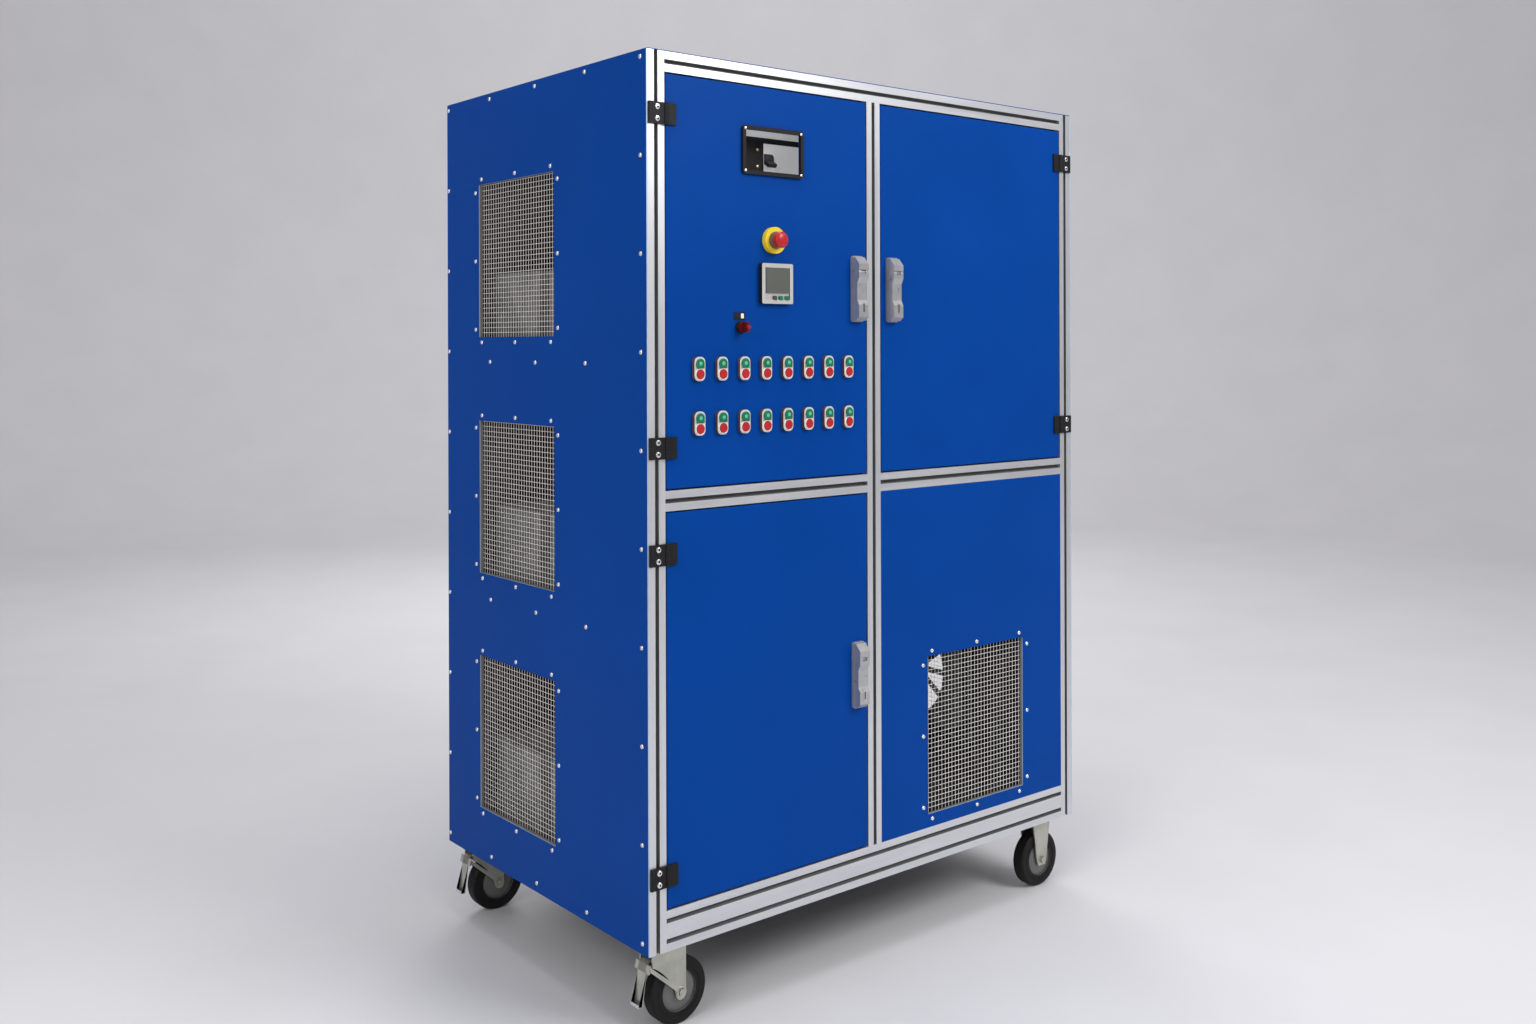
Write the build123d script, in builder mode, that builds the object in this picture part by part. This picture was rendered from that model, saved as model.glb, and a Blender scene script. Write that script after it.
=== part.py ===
"""Generator load bank: a wheeled resistor cabinet on a slotted aluminium frame. Millimetres, +Z up.

The origin is on the floor under the middle of the outer box. The front faces -Y.
Heights are measured from the underside of the frame, which stands at frame_base above the floor.
"""

import os

from build123d import *

# Frame, made of square slotted profile
profile = 45.0
frame_height = 1980.0
frame_depth = 942.0
left_opening = 612.0
right_opening = 703.0
slot_mouth = 10.0
slot_lip = 4.5
slot_width = 20.0
slot_depth = 13.0
base_rail_cells = 2
tier_heights = (682.0, 1293.0)

# Casters
frame_base = 190.0
wheel_diameter = 150.0
wheel_width = 36.0
hub_diameter = 92.0
hub_recess = 5.0
caster_inset_left = 63.0
caster_inset_right = 95.0
caster_inset_y = 54.0
caster_trail = 42.0
caster_plate_x = 110.0
caster_plate_y = 90.0
caster_plate_thickness = 4.0
fork_sheet = 4.0
fork_gap = 3.0
fork_crown = 72.0
fork_eye = 20.0
axle_diameter = 10.0
axle_head = 7.0
king_pin = 16.0
race_diameter = 58.0
race_height = 9.0
pedal_reach = 105.0
pedal_gap = 6.0
pedal_tread = 20.0
pedal_sheet = 2.5
running_clearance = 0.05

# Sheet metal
sheet = 2.0
panel_sheet = 3.0
door_gap = 3.5
door_return = 20.0
door_bend = 1.5
clearance = 0.3

# Grille openings
side_grille_y = 375.0
side_grille_z = 395.0
side_grille_setback = 577.0
side_grille_heights = (333.0, 942.0, 1553.0)
front_grille_x = 372.0
front_grille_z = 406.0
front_grille_from_left = 1055.0
front_grille_lift = 34.0
mesh_lap = 12.0
mesh_bar = 3.0
mesh_columns = 6
mesh_rows = 6

# Hinges and handles
hinge_height = 48.0
hinge_post_reach = 45.0
hinge_door_reach = 27.0
hinge_leaf_thickness = 5.0
hinge_knuckle = 10.0
hinge_pin = 5.0
hinge_from_end = 138.0
hinge_from_middle = 117.0
hinge_from_floor = 167.0
handle_from_mullion = 60.0
handle_length = 162.0
handle_width = 32.0
handle_base_thickness = 8.0
handle_head_reach = 20.0
handle_depth = 21.0
handle_gap = 0.6
handle_pivot_drop = 21.0
handle_pivot_out = 10.6
tongue_width = 14.0
lever_pin = 6.0
pin_inset = 1.0
upper_handle_drop = 429.0
lower_handle_drop = 386.0
spindle_diameter = 14.0
spindle_clearance = 0.3
cam_setback = 28.0
cam_reach = 30.0
cam_width = 18.0
cam_thickness = 4.0

# Controls, placed from the frame's left edge and down from its top
window_x = 184.0
window_z = 112.0
window_centre = (353.0, 197.0)
window_border = 9.0
window_depth = 7.0
pane_thickness = 3.0
stop_centre = (353.0, 403.0)
stop_collar = 62.0
stop_head = 38.0
stop_reach = 38.0
stop_body = 40.0
meter_centre = (358.0, 504.0)
meter_size = 94.0
meter_bezel = 13.0
meter_body = 88.0
meter_body_depth = 50.0
selector_centre = (256.0, 606.0)
selector_collar = 29.0
selector_knob = 24.0
station_first = 134.0
station_pitch = 64.7
station_columns = 8
station_rows = (822.0, 700.0)
station_width = 30.0
station_height = 54.0
station_depth = 9.0
station_block_x = 24.0
station_block_z = 44.0
station_block_depth = 40.0
station_offset = 12.0
button_diameter = 22.0
button_proud = 3.0
button_travel = 3.5
panel_hole = 22.5

# Inside
plate_setback = 200.0
plate_margin = 60.0
shelf_setback = 240.0
breaker_centre = (400.0, 202.0)
breaker_x = 105.0
breaker_z = 150.0
breaker_depth = 128.0
toggle_x = 26.0
toggle_pivot_depth = 8.0
toggle_root = 30.0
toggle_reach = 30.0
toggle_thickness = 9.0
toggle_angle = 35.0
contactor_rows = 3
contactor_columns = 5
contactor_x = 56.0
contactor_z = 84.0
contactor_depth = 80.0
contactor_pitch_x = 95.0
contactor_pitch_z = 150.0
case_places = (300.0, 580.0)
case_inset = 70.0
case_y = 230.0
case_z = 205.0
element_diameter = 26.0
element_columns = 3
element_rows = 3
element_pitch_y = 65.0
element_pitch_z = 60.0
fan_frame = 330.0
fan_depth = 70.0
fan_bore = 300.0
fan_hub = 90.0
fan_shaft = 12.0
fan_blades = 5
fan_blade_pitch = 35.0
gland_diameter = 50.0
gland_bore = 32.0
gland_length = 44.0
gland_flange = 8.0
gland_count = 4
gland_pitch = 80.0
gland_setback = 120.0
gland_from_rear = 120.0

# Derived places
frame_width = 3 * profile + left_opening + right_opening
base_rail_height = base_rail_cells * profile
front_reach = stop_reach
rear_reach = panel_sheet
left = -frame_width / 2
right = frame_width / 2
front = (front_reach - rear_reach - frame_depth) / 2
rear = front + frame_depth
base = frame_base
top = base + frame_height
middle = base + frame_height / 2
mullion_left = left + profile + left_opening
mullion_centre = mullion_left + profile / 2
wheel_radius = wheel_diameter / 2
hinge_axis_y = front - hinge_knuckle / 2
station_xs = [station_first + station_pitch * column for column in range(station_columns)]

os.makedirs("parts", exist_ok=True)


def save(name, shape):
    """Labels a finished piece, or a group of alike pieces, and writes it."""
    shape.label = name
    export_step(shape, f"parts/{name}.step")


def facing_front(y):
    """A plane across the cabinet at depth y: local x to the right, local y up, normal out of the front."""
    return Plane(origin=(0, y, 0), x_dir=(1, 0, 0), z_dir=(0, -1, 0))


def facing_right(x):
    """A plane along the cabinet's side at x: local x to the rear, local y up, normal to the right."""
    return Plane(origin=(x, 0, 0), x_dir=(0, 1, 0), z_dir=(1, 0, 0))


def on_front(from_left, drop):
    """A place on a front plane from its distances to the frame's left edge and top."""
    return (left + from_left, top - drop)


def slotted_section(cells=1, turn=0):
    """The section of a slotted profile, one or more square cells high, with a T-slot in each outer side."""
    with BuildSketch() as section:
        Rectangle(profile, cells * profile)
        for cell in range(cells):
            centre = (cell - (cells - 1) / 2) * profile
            sides = [0, 180]
            if cell == 0:
                sides.append(270)
            if cell == cells - 1:
                sides.append(90)
            for side in sides:
                with Locations(Location((0, centre), side)):
                    with Locations((profile / 2 - slot_lip / 2, 0)):
                        Rectangle(slot_lip, slot_mouth, mode=Mode.SUBTRACT)
                    with Locations((profile / 2 - slot_lip - (slot_depth - slot_lip) / 2, 0)):
                        Trapezoid(slot_width, slot_depth - slot_lip, 45, rotation=90, mode=Mode.SUBTRACT)
    return section.sketch.rotate(Axis.Z, turn)


# ---------------------------------------------------------------- frame
def make_posts():
    """Four corner posts and the front mullion, which stands between the top rail and the base rail."""
    post_x = (left + profile / 2, right - profile / 2)
    post_y = (front + profile / 2, rear - profile / 2)
    with BuildPart() as posts:
        with BuildSketch(Plane.XY.offset(base)):
            for x in post_x:
                for y in post_y:
                    with Locations((x, y)):
                        add(slotted_section())
        extrude(amount=frame_height)
        with BuildSketch(Plane.XY.offset(base + base_rail_height)):
            with Locations((mullion_centre, front + profile / 2)):
                add(slotted_section())
        extrude(amount=frame_height - base_rail_height - profile)
    save("frame_posts", posts.part)


def rail_across(start, length, y, z, cells=1):
    """A rail along X, its section centred at y and z."""
    with BuildPart() as rail:
        with BuildSketch(Plane(origin=(start, y, z), x_dir=(0, 1, 0), z_dir=(1, 0, 0))):
            add(slotted_section(cells))
        extrude(amount=length)
    return rail.part


def rail_along(x, z, cells=1):
    """A rail along Y between a front post and a rear post."""
    with BuildPart() as rail:
        with BuildSketch(Plane(origin=(x, front + profile, z), x_dir=(-1, 0, 0), z_dir=(0, 1, 0))):
            add(slotted_section(cells))
        extrude(amount=frame_depth - 2 * profile)
    return rail.part


def ring_of_rails(z, cells=1):
    """Front, rear and two side rails between the corner posts."""
    span = frame_width - 2 * profile
    across = [rail_across(left + profile, span, y, z, cells) for y in (front + profile / 2, rear - profile / 2)]
    along = [rail_along(x, z, cells) for x in (left + profile / 2, right - profile / 2)]
    return across + along


def make_rails():
    """The top ring, the taller base ring, and the rails that carry the doors and the tiers."""
    save("top_rails", Compound(children=ring_of_rails(top - profile / 2)))
    save("base_rails", Compound(children=ring_of_rails(base + base_rail_height / 2, base_rail_cells)))
    spans = [(left + profile, left_opening), (mullion_left + profile, right_opening)]
    rails = [rail_across(start, length, front + profile / 2, middle) for start, length in spans]
    for height in tier_heights:
        rails += [rail_along(x, base + height) for x in (left + profile / 2, right - profile / 2)]
    save("cross_rails", Compound(children=rails))


# ---------------------------------------------------------------- panels and grilles
side_grille_centres = [(front + side_grille_setback, base + height) for height in side_grille_heights]
front_grille_low = base + base_rail_height + front_grille_lift
front_grille_centre = (left + front_grille_from_left, front_grille_low + front_grille_z / 2)
gland_places = [(right - gland_setback - gland_pitch * i, rear - gland_from_rear) for i in range(gland_count)]


def side_panel(x):
    """A flat side panel with three grille openings, standing from x outwards by its thickness."""
    with BuildPart() as panel:
        with BuildSketch(facing_right(x)):
            with Locations((front + frame_depth / 2, base + frame_height / 2)):
                Rectangle(frame_depth, frame_height)
            with Locations(side_grille_centres):
                Rectangle(side_grille_y, side_grille_z, mode=Mode.SUBTRACT)
        extrude(amount=panel_sheet)
    return panel.part


def make_panels():
    """The blue skins: both sides, rear, roof, floor and the fixed panel at the front's lower right."""
    save("left_side_panel", side_panel(left - panel_sheet))
    save("right_side_panel", side_panel(right))
    with BuildPart() as rear_panel:
        with BuildSketch(facing_front(rear + panel_sheet)):
            with Locations((0, base + frame_height / 2)):
                Rectangle(frame_width, frame_height)
        extrude(amount=panel_sheet)
    save("rear_panel", rear_panel.part)
    with BuildPart() as roof:
        with BuildSketch(Plane.XY.offset(top)):
            with Locations((0, front + frame_depth / 2)):
                Rectangle(frame_width, frame_depth)
        extrude(amount=sheet)
    save("roof_panel", roof.part)
    with BuildPart() as floor:
        with BuildSketch(Plane.XY.offset(base + base_rail_height)):
            with Locations((0, front + frame_depth / 2)):
                Rectangle(frame_width - 2 * profile, frame_depth - 2 * profile)
                Rectangle(frame_width, frame_depth - 4 * profile)
            with Locations(gland_places):
                Circle(gland_diameter / 2, mode=Mode.SUBTRACT)
        extrude(amount=sheet)
    save("floor_panel", floor.part)
    fixed_low = base + base_rail_height
    fixed_high = middle - profile / 2
    with BuildPart() as fixed:
        with BuildSketch(facing_front(front + panel_sheet)):
            with Locations((mullion_left + profile + right_opening / 2, (fixed_low + fixed_high) / 2)):
                Rectangle(right_opening, fixed_high - fixed_low)
            with Locations(front_grille_centre):
                Rectangle(front_grille_x, front_grille_z, mode=Mode.SUBTRACT)
        extrude(amount=panel_sheet)
    save("front_fixed_panel", fixed.part)


def mesh_sheet(plane, centre, size_x, size_z):
    """A welded bar mesh that laps its opening all round and fills mesh_bar behind the plane."""
    outer_x = size_x + 2 * mesh_lap
    outer_z = size_z + 2 * mesh_lap
    cell_x = (outer_x - mesh_bar) / mesh_columns
    cell_z = (outer_z - mesh_bar) / mesh_rows
    with BuildPart() as mesh:
        with BuildSketch(plane):
            with Locations(centre):
                Rectangle(outer_x, outer_z)
                with GridLocations(cell_x, cell_z, mesh_columns, mesh_rows):
                    Rectangle(cell_x - mesh_bar, cell_z - mesh_bar, mode=Mode.SUBTRACT)
        extrude(amount=-mesh_bar)
    return mesh.part


def make_grilles():
    """The wire mesh behind each of the seven openings, one group for each face of the cabinet."""
    groups = (("left_grilles", left + mesh_bar), ("right_grilles", right))
    for name, x in groups:
        sheets = [mesh_sheet(facing_right(x), centre, side_grille_y, side_grille_z) for centre in side_grille_centres]
        save(name, Compound(children=sheets))
    plane = facing_front(front + panel_sheet)
    save("front_grille", mesh_sheet(plane, front_grille_centre, front_grille_x, front_grille_z))


def make_glands():
    """Cable glands through the floor for the generator's power cables, each with a flange under the sheet."""
    seat = base + base_rail_height
    with BuildPart() as glands:
        with BuildSketch(Plane.XY.offset(seat - gland_length / 2)):
            with Locations(gland_places):
                Circle(gland_diameter / 2 - clearance)
        extrude(amount=gland_length)
        with BuildSketch(Plane.XY.offset(seat)):
            with Locations(gland_places):
                RegularPolygon(gland_diameter / 2 + gland_flange, 6)
        extrude(amount=-gland_flange)
        with BuildSketch(Plane.XY.offset(seat - gland_length / 2)):
            with Locations(gland_places):
                Circle(gland_bore / 2)
        extrude(amount=gland_length, mode=Mode.SUBTRACT)
    save("cable_glands", glands.part)


# ---------------------------------------------------------------- doors
class Door:
    """A folded door in one opening of the front, hinged on the side away from the mullion."""

    def __init__(self, name, hand, low, high, hinge_heights, handle_top):
        self.name = name
        self.hand = hand
        if hand == "left":
            self.x0 = left + profile + door_gap
            self.x1 = mullion_left - door_gap
            self.axis_x = left + profile + door_gap / 2
            self.away = 1
        else:
            self.x0 = mullion_left + profile + door_gap
            self.x1 = right - profile - door_gap
            self.axis_x = right - profile - door_gap / 2
            self.away = -1
        self.z0 = low + door_gap
        self.z1 = high - door_gap
        self.hinges = [base + height for height in hinge_heights]
        self.handle_x = mullion_centre - self.away * handle_from_mullion
        self.handle_top = handle_top
        self.spindle_z = self.handle_top - handle_head_reach


upper_low = middle + profile / 2
upper_high = top - profile
lower_low = base + base_rail_height
lower_high = middle - profile / 2
upper_hinges = (frame_height - hinge_from_end, frame_height / 2 + hinge_from_middle)
lower_hinges = (frame_height / 2 - hinge_from_middle, hinge_from_floor)
doors = [
    Door("upper_left", "left", upper_low, upper_high, upper_hinges, top - upper_handle_drop),
    Door("lower_left", "left", lower_low, lower_high, lower_hinges, middle - lower_handle_drop),
    Door("upper_right", "right", upper_low, upper_high, upper_hinges, top - upper_handle_drop),
]


def control_cutouts():
    """The shapes cut through the control door's skin."""
    with BuildSketch() as cutouts:
        with Locations(on_front(*window_centre)):
            Rectangle(window_x - 2 * window_border, window_z - 2 * window_border)
        with Locations(on_front(*meter_centre)):
            Rectangle(meter_body + 2 * clearance, meter_body + 2 * clearance)
        with Locations(on_front(*stop_centre), on_front(*selector_centre)):
            Circle(panel_hole / 2)
        with Locations([on_front(x, z) for x in station_xs for z in station_rows]):
            Rectangle(station_block_x + 2 * clearance, station_block_z + 2 * clearance)
    return cutouts.sketch


def make_door(door):
    """A sheet pan: a flat skin with rounded outer edges and a return all round."""
    width = door.x1 - door.x0
    height = door.z1 - door.z0
    centre = ((door.x0 + door.x1) / 2, (door.z0 + door.z1) / 2)
    with BuildPart() as pan:
        with BuildSketch(facing_front(front + door_return)):
            with Locations(centre):
                Rectangle(width, height)
        extrude(amount=door_return)
        chamfer(pan.faces().sort_by(Axis.Y)[0].edges(), door_bend)
        with BuildSketch(facing_front(front + door_return)):
            with Locations(centre):
                Rectangle(width - 2 * sheet, height - 2 * sheet)
        extrude(amount=door_return - sheet, mode=Mode.SUBTRACT)
        with BuildSketch(facing_front(front + sheet)):
            with Locations((door.handle_x, door.spindle_z)):
                Circle(spindle_diameter / 2 + spindle_clearance)
            if door.name == "upper_left":
                add(control_cutouts())
        extrude(amount=sheet, mode=Mode.SUBTRACT)
    save(f"{door.name}_door", pan.part)


def hinge_leaf(door, height, reach, side, knuckles):
    """One leaf from the hinge axis towards side, with its knuckles in the thirds named in knuckles."""
    third = hinge_height / 3
    low = height - hinge_height / 2
    width = abs(reach)
    centre_x = door.axis_x + side * door.away * width / 2
    axis = (door.axis_x, hinge_axis_y)
    others = [i for i in range(3) if i not in knuckles]
    with BuildPart() as leaf:
        with BuildSketch(facing_front(front)):
            with Locations((centre_x, height)):
                Rectangle(width, hinge_height)
        extrude(amount=hinge_leaf_thickness)
        for i in knuckles:
            with BuildSketch(Plane.XY.offset(low + third * i)):
                with Locations(axis):
                    Circle(hinge_knuckle / 2)
            extrude(amount=third)
        for i in others:
            with BuildSketch(Plane.XY.offset(low + third * i - clearance / 2)):
                with Locations(axis):
                    Circle(hinge_knuckle / 2 + clearance)
            extrude(amount=third + clearance, mode=Mode.SUBTRACT)
        with BuildSketch(Plane.XY.offset(low)):
            with Locations(axis):
                Circle(hinge_pin / 2 if len(knuckles) == 2 else hinge_pin / 2 + running_clearance)
        extrude(amount=hinge_height, mode=Mode.ADD if len(knuckles) == 2 else Mode.SUBTRACT)
    return leaf.part


def make_hinges():
    """Three-knuckle hinges: the outer knuckles and the pin stay on the post, the middle one on the door."""
    fixed = [hinge_leaf(door, z, hinge_post_reach, -1, (0, 2)) for door in doors for z in door.hinges]
    save("hinge_post_leaves", Compound(children=fixed))
    for door in doors:
        leaves = [hinge_leaf(door, z, hinge_door_reach, 1, (1,)) for z in door.hinges]
        save(f"{door.name}_hinge_leaves", Compound(children=leaves))


# ---------------------------------------------------------------- swing handles
def handle_profile(door, points):
    """A closed outline on a side plane, from distances out of the handle base and down from the pivot."""
    pivot_z = door.spindle_z - handle_pivot_drop
    face = front - handle_base_thickness
    with BuildSketch() as outline:
        with BuildLine():
            Polyline([(face - out, pivot_z - down) for out, down in points], close=True)
        make_face()
    return outline.sketch


def pivot_disc(door, radius):
    """A disc about the lever's pivot, to draw on a side plane."""
    with BuildSketch() as disc:
        with Locations((front - handle_base_thickness - handle_pivot_out, door.spindle_z - handle_pivot_drop)):
            Circle(radius)
    return disc.sketch


def make_handle(door):
    """A swing handle: a base on the door, a head on the spindle with its cam, and a lever that lifts first."""
    pivot_z = door.spindle_z - handle_pivot_drop
    side = facing_right(door.handle_x - handle_width / 2)
    middle_side = facing_right(door.handle_x - tongue_width / 2)
    below = door.handle_top - pivot_z
    foot = handle_length - below
    with BuildPart() as base_plate:
        with BuildSketch(facing_front(front)):
            with Locations((door.handle_x, door.handle_top - handle_length / 2)):
                RectangleRounded(handle_width + 4, handle_length, 6)
            with Locations((door.handle_x, door.spindle_z)):
                Circle(spindle_diameter / 2 + running_clearance, mode=Mode.SUBTRACT)
        extrude(amount=handle_base_thickness)
    save(f"{door.name}_handle_base", base_plate.part)
    root = handle_pivot_out - handle_gap
    seam = -root * 0.65
    with BuildPart() as head:
        with BuildSketch(side):
            add(handle_profile(door, [(handle_gap, seam), (handle_gap, 3 - below), (6, 3 - below),
                                      (handle_depth, 20 - below), (handle_depth, seam)]))
            add(pivot_disc(door, root + clearance), mode=Mode.SUBTRACT)
        extrude(amount=handle_width)
        with BuildSketch(middle_side):
            add(pivot_disc(door, root * 0.7))
            add(handle_profile(door, [(root * 0.4, 0), (root * 0.4, -root - 2), (root * 1.6, -root - 2),
                                      (root * 1.6, 0)]))
        extrude(amount=tongue_width)
        with BuildSketch(side.offset(pin_inset)):
            add(pivot_disc(door, lever_pin / 2))
        extrude(amount=handle_width - 2 * pin_inset)
        with BuildSketch(facing_front(front - handle_base_thickness - handle_depth / 2)):
            with Locations((door.handle_x, door.spindle_z)):
                Circle(spindle_diameter / 2)
        extrude(amount=-(handle_base_thickness + handle_depth / 2 + cam_setback))
        with BuildSketch(facing_front(front + cam_setback)):
            with Locations((door.handle_x, door.spindle_z)):
                Circle(cam_width / 2)
            with Locations((door.handle_x + door.away * cam_reach / 2, door.spindle_z)):
                Rectangle(cam_reach, cam_width)
        extrude(amount=-cam_thickness)
    save(f"{door.name}_handle_head", head.part)
    with BuildPart() as lever:
        with BuildSketch(side):
            add(handle_profile(door, [(handle_gap, 0), (handle_gap, foot - 3), (10, foot - 3), (20, foot - 12),
                                      (20, foot - 42), (14, foot - 54), (14, 26), (handle_pivot_out + root, 12),
                                      (handle_pivot_out + root, 0)]))
            add(pivot_disc(door, root))
        extrude(amount=handle_width)
        with BuildSketch(middle_side.offset(-clearance)):
            add(pivot_disc(door, root + clearance))
        extrude(amount=tongue_width + 2 * clearance, mode=Mode.SUBTRACT)
        with BuildSketch(side):
            add(pivot_disc(door, lever_pin / 2 + running_clearance))
        extrude(amount=handle_width, mode=Mode.SUBTRACT)
    save(f"{door.name}_handle_lever", lever.part)


# ---------------------------------------------------------------- control door
def make_window():
    """The breaker window: a moulded border on the door skin and a clear pane seated in it."""
    centre = on_front(*window_centre)
    rebate = window_border / 2
    with BuildPart() as border:
        with BuildSketch(facing_front(front)):
            with Locations(centre):
                RectangleRounded(window_x, window_z, window_border)
                Rectangle(window_x - 2 * window_border, window_z - 2 * window_border, mode=Mode.SUBTRACT)
        extrude(amount=window_depth)
        with BuildSketch(facing_front(front)):
            with Locations(centre):
                Rectangle(window_x - 2 * rebate, window_z - 2 * rebate)
        extrude(amount=pane_thickness, mode=Mode.SUBTRACT)
    save("window_border", border.part)
    with BuildPart() as pane:
        with BuildSketch(facing_front(front)):
            with Locations(centre):
                Rectangle(window_x - 2 * rebate, window_z - 2 * rebate)
        extrude(amount=pane_thickness)
    save("window_pane", pane.part)


def make_panel_device(name, place, collar, collar_depth, knob, stem, start, end, body):
    """A round panel device: a fixed collar with its body through the door, and a stemmed head that moves."""
    with BuildPart() as fixed:
        with BuildSketch(facing_front(front)):
            with Locations(place):
                Circle(collar / 2)
        extrude(amount=collar_depth)
        with BuildSketch(facing_front(front)):
            with Locations(place):
                Circle(panel_hole / 2 - running_clearance)
        extrude(amount=-body)
        with BuildSketch(facing_front(front - collar_depth)):
            with Locations(place):
                Circle(stem / 2 + running_clearance)
        extrude(amount=-(collar_depth + body - sheet), mode=Mode.SUBTRACT)
    save(f"{name}_collar", fixed.part)
    with BuildPart() as moving:
        with BuildSketch(facing_front(front - start)):
            with Locations(place):
                Circle(knob / 2)
        extrude(amount=end - start)
        with BuildSketch(facing_front(front - start)):
            with Locations(place):
                Circle(stem / 2)
        extrude(amount=-(start + body / 2))
        if name == "selector":
            with BuildSketch(facing_front(front - end)):
                with Locations(place):
                    Rectangle(knob, knob)
                    Rectangle(knob * 0.34, knob, mode=Mode.SUBTRACT)
            extrude(amount=-(end - start) * 0.6, mode=Mode.SUBTRACT)
        else:
            chamfer(moving.faces().sort_by(Axis.Y)[0].edges(), 3)
    save(f"{name}_knob", moving.part)


def make_meter():
    """The power meter: a square bezel on the door and its body behind."""
    with BuildPart() as meter:
        with BuildSketch(facing_front(front)):
            with Locations(on_front(*meter_centre)):
                RectangleRounded(meter_size, meter_size, 4)
        extrude(amount=meter_bezel)
        with BuildSketch(facing_front(front)):
            with Locations(on_front(*meter_centre)):
                Rectangle(meter_body, meter_body)
        extrude(amount=-meter_body_depth)
        with BuildSketch(facing_front(front - meter_bezel)):
            with Locations(on_front(*meter_centre)):
                Rectangle(meter_size - 20, meter_size - 20)
        extrude(amount=-3, mode=Mode.SUBTRACT)
    save("power_meter", meter.part)


def make_stations():
    """Sixteen double push-button stations; the buttons of a colour are ganged into one moving bank."""
    places = [on_front(x, z) for x in station_xs for z in station_rows]
    starts = [(x, z + station_offset) for x, z in places]
    stops = [(x, z - station_offset) for x, z in places]
    stations = []
    for place in places:
        with BuildPart() as station:
            with BuildSketch(facing_front(front)):
                with Locations(place):
                    RectangleRounded(station_width, station_height, station_width * 0.4)
            extrude(amount=station_depth)
            with BuildSketch(facing_front(front)):
                with Locations(place):
                    Rectangle(station_block_x, station_block_z)
            extrude(amount=-station_block_depth)
            with BuildSketch(facing_front(front - station_depth)):
                with Locations((place[0], place[1] + station_offset), (place[0], place[1] - station_offset)):
                    Circle(button_diameter / 2 + running_clearance)
            extrude(amount=-(station_depth + 2), mode=Mode.SUBTRACT)
        stations.append(station.part)
    save("button_stations", Compound(children=stations))
    for name, spots in (("start_buttons", starts), ("stop_buttons", stops)):
        with BuildPart() as bank:
            with BuildSketch(facing_front(front - button_travel)):
                with Locations(spots):
                    Circle(button_diameter / 2)
            extrude(amount=station_depth + button_proud - button_travel)
        save(name, bank.part)


# ---------------------------------------------------------------- inside
def box_at(x0, x1, y0, y1, z0, z1):
    """A plain box between two corners."""
    with BuildPart() as block:
        with Locations(((x0 + x1) / 2, (y0 + y1) / 2, (z0 + z1) / 2)):
            Box(x1 - x0, y1 - y0, z1 - z0)
    return block.part


def make_inside():
    """The divider, tiers, mounting plate and breaker, and the resistor boxes with their elements."""
    divider_x = mullion_centre
    floor_top = base + base_rail_height + sheet
    sheets = [box_at(divider_x, divider_x + sheet, front + profile, rear - profile, floor_top, top - profile)]
    tiers = [base + height + profile / 2 for height in tier_heights]
    for z in tiers:
        sheets.append(box_at(left, divider_x, front + shelf_setback, rear - profile, z, z + sheet))
        sheets.append(box_at(divider_x + sheet, right, front + shelf_setback, rear - profile, z, z + sheet))
    plate_y = front + plate_setback
    plate_low = middle + plate_margin
    plate_high = top - 2 * profile
    sheets.append(box_at(left + profile, divider_x, plate_y, plate_y + sheet, plate_low, plate_high))
    save("inner_sheets", Compound(children=sheets))
    breaker_cx, breaker_cz = on_front(*breaker_centre)
    face_y = plate_y - breaker_depth
    pivot = (face_y + toggle_pivot_depth, breaker_cz)
    side = facing_right(breaker_cx - toggle_x / 2)
    with BuildPart() as breaker:
        with Locations((breaker_cx, plate_y - breaker_depth / 2, breaker_cz)):
            Box(breaker_x, breaker_depth, breaker_z)
        with BuildSketch(side.offset(-running_clearance)):
            with Locations(pivot):
                Circle(toggle_root / 2 + running_clearance)
        extrude(amount=toggle_x + 2 * running_clearance, mode=Mode.SUBTRACT)
    save("main_breaker", breaker.part)
    with BuildPart() as toggle:
        with BuildSketch(side):
            with Locations(pivot):
                Circle(toggle_root / 2)
                with Locations(Location((0, 0), toggle_angle)):
                    with Locations((-toggle_reach / 2, 0)):
                        Rectangle(toggle_reach, toggle_thickness)
        extrude(amount=toggle_x)
    save("breaker_toggle", toggle.part)
    contactors = []
    for row in range(contactor_rows):
        for column in range(contactor_columns):
            x = left + profile + 60 + column * contactor_pitch_x
            z = plate_low + 30 + row * contactor_pitch_z
            contactors.append(box_at(x, x + contactor_x, plate_y - contactor_depth, plate_y, z, z + contactor_z))
    save("contactors", Compound(children=contactors))
    floors = [floor_top] + [z + sheet for z in tiers]
    cases = []
    rods = []
    wall = sheet
    for floor_z in floors:
        for y0 in case_places:
            y0 += front
            x0 = left + case_inset
            x1 = divider_x - case_inset
            with BuildPart() as case:
                with Locations(((x0 + x1) / 2, y0 + case_y / 2, floor_z + case_z / 2)):
                    Box(x1 - x0, case_y, case_z)
                    Box(x1 - x0 - 2 * wall, case_y - 2 * wall, case_z, mode=Mode.SUBTRACT)
            cases.append(case.part)
            with BuildPart() as bank:
                with BuildSketch(facing_right(x0 + wall)):
                    with Locations((y0 + case_y / 2, floor_z + case_z / 2)):
                        with GridLocations(element_pitch_y, element_pitch_z, element_columns, element_rows):
                            RegularPolygon(element_diameter / 2, 8)
                extrude(amount=x1 - x0 - 2 * wall)
            rods.append(bank.part)
    save("resistor_cases", Compound(children=cases))
    save("resistor_elements", Compound(children=[solid for bank in rods for solid in bank.solids()]))


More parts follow.
